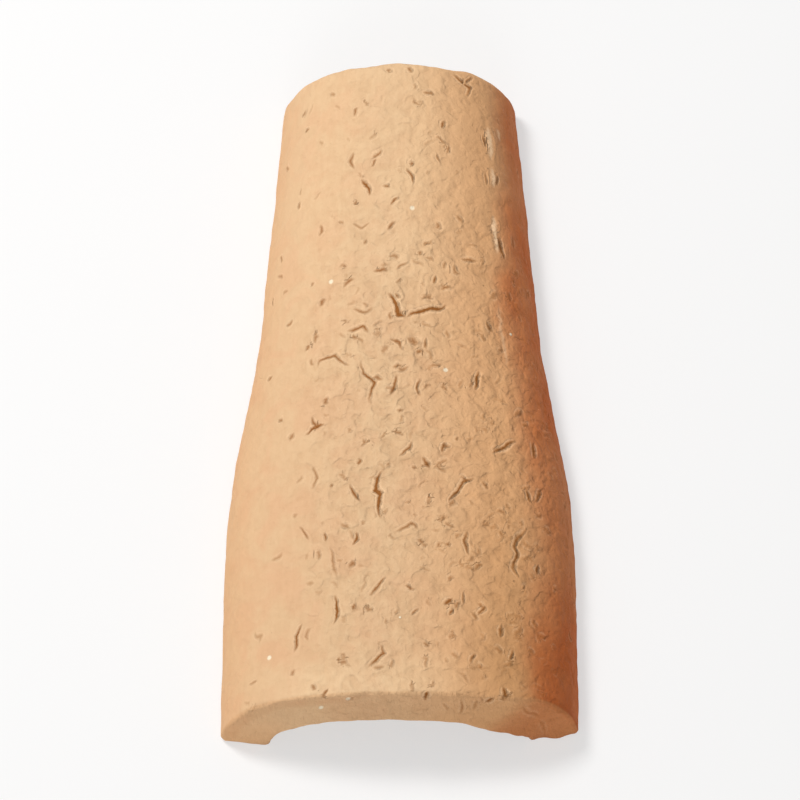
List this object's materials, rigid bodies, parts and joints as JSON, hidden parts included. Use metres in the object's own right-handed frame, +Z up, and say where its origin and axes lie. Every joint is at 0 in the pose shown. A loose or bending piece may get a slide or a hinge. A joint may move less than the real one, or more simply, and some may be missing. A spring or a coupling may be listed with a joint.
{
  "type": "clay roof tile",
  "caption": "Tapered barrel roof tile of fired clay: an arched shell, wide at its front end and narrow at its head, laid crown up on its feet.",
  "frame": {"origin": "on the plane of the feet, below the middle of the tile", "axes": "+Y along the tile from the wide front end to the narrow head, +Z up through the crown, +X to the right seen from the front end"},
  "size_m": [0.2036, 0.4, 0.0669],
  "materials": {
    "fired_clay": "matte"
  },
  "bodies": {
    "root": {"barrel_tile": "fired_clay"}
  },
  "joints": []
}
